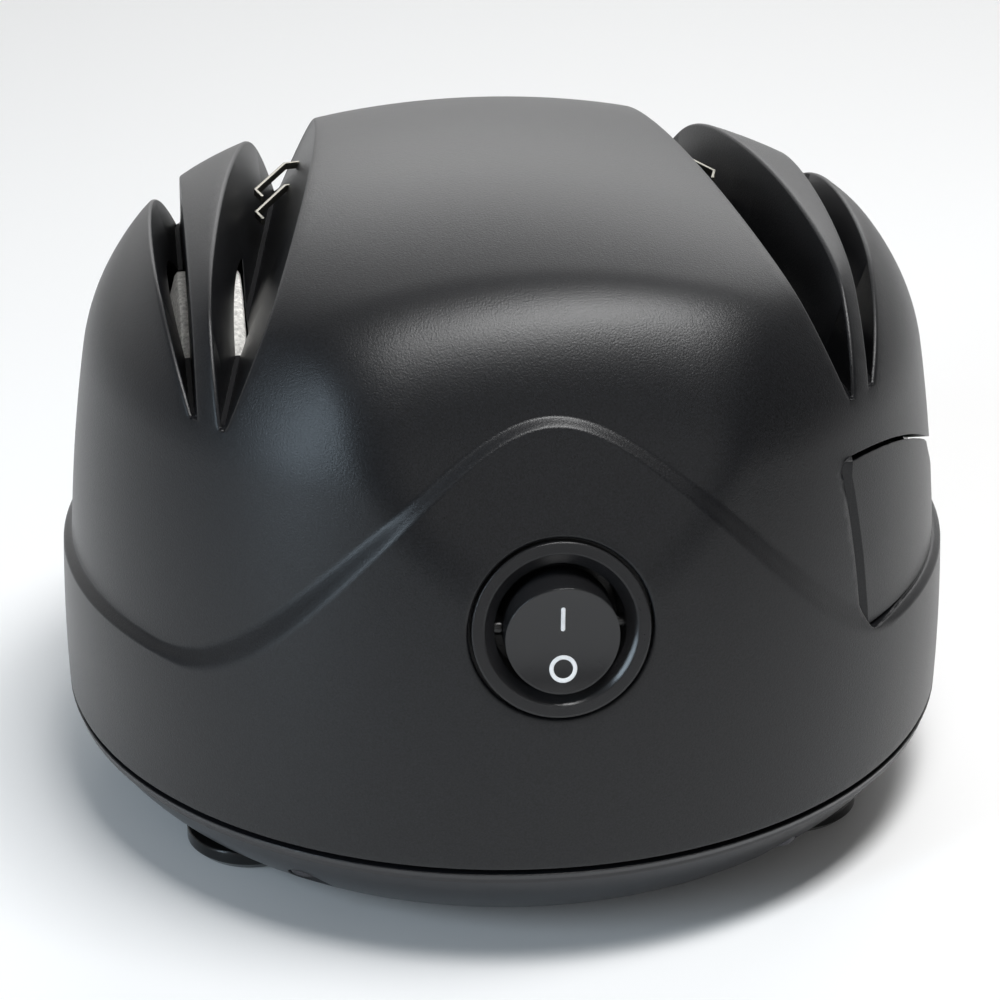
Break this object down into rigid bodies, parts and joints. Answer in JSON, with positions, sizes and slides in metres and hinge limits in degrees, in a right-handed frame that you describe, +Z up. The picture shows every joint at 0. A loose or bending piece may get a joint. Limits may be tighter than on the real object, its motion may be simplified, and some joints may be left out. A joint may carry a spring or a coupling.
{
  "type": "electric knife sharpener",
  "caption": "Round mains knife sharpener with blade slots over grinding wheels, a rocker switch in front and a filings drawer at the side.",
  "frame": {"origin": "on the table under the middle of the round body, which is the centre of the bottom of the bounding box", "axes": "+Z up; -Y towards the front, where the switch is; +X towards the right, where the filings drawer is"},
  "size_m": [0.1284, 0.1286, 0.0932],
  "materials": {
    "base_plastic": "black moulded plastic, slightly glossier than the shell",
    "bronze": "sintered bronze",
    "cast_aluminium": "die-cast, as cast",
    "coarse_stone": "light grey bonded grit",
    "copper": "enamelled copper wire",
    "dark_screws": "black oxide screws",
    "ferrite": "dull dark grey ferrite",
    "fine_stone": "off-white fine ceramic grit",
    "foot_rubber": "glossy black rubber",
    "grey_rubber": "black rubber",
    "laminated_steel": "stacked electrical steel sheets",
    "shell_plastic": "near-black moulded plastic with a fine satin grain",
    "spring_steel": "bright spring steel",
    "switch_plastic": "black nylon, satin to glossy",
    "tin_plate": "tinned brass",
    "white_nylon": "natural nylon",
    "zinc_steel": "zinc-plated steel"
  },
  "bodies": {
    "case": {"base_cover": "base_plastic", "base_screws": "dark_screws", "bearing_bracket_left": "cast_aluminium", "bearing_bracket_right": "cast_aluminium", "bearing_bush_left": "bronze", "bearing_bush_right": "bronze", "blade_spring_left": "spring_steel", "blade_spring_right": "spring_steel", "coil_bobbin": "white_nylon", "coil_winding": "copper", "cord_grommet": "grey_rubber", "foot_front_left": "foot_rubber", "foot_front_right": "foot_rubber", "foot_rear_left": "foot_rubber", "foot_rear_right": "foot_rubber", "motor_bolts": "zinc_steel", "motor_screws": "zinc_steel", "stator_core": "laminated_steel", "switch_body": "switch_plastic", "switch_terminals": "tin_plate", "upper_housing": "shell_plastic"},
    "spindle": {"axle": "zinc_steel", "cooling_fan": "white_nylon", "grinding_wheel_left": "coarse_stone", "grinding_wheel_right": "fine_stone", "rotor_core": "laminated_steel", "rotor_end_ring_left": "cast_aluminium", "rotor_end_ring_right": "cast_aluminium", "wheel_hub_left": "zinc_steel", "wheel_hub_right": "zinc_steel", "wheel_nut_left": "zinc_steel", "wheel_nut_right": "zinc_steel"},
    "rocker": {"switch_rocker": "switch_plastic"},
    "drawer": {"drawer_magnet": "ferrite", "filings_drawer": "shell_plastic"}
  },
  "joints": [
    {"name": "spindle_spin", "type": "hinge", "parent": "case", "child": "spindle", "pos_m": [0, 0, 0.051], "axis": [1, 0, 0], "continuous": true},
    {"name": "rocker_tilt", "type": "hinge", "parent": "case", "child": "rocker", "pos_m": [0, -0.05835, 0.04869], "axis": [-1, 0, 0], "range_deg": [0, 20]},
    {"name": "drawer_slide", "type": "slide", "parent": "case", "child": "drawer", "axis": [1, 0, 0], "range_m": [0, 0.03]}
  ]
}
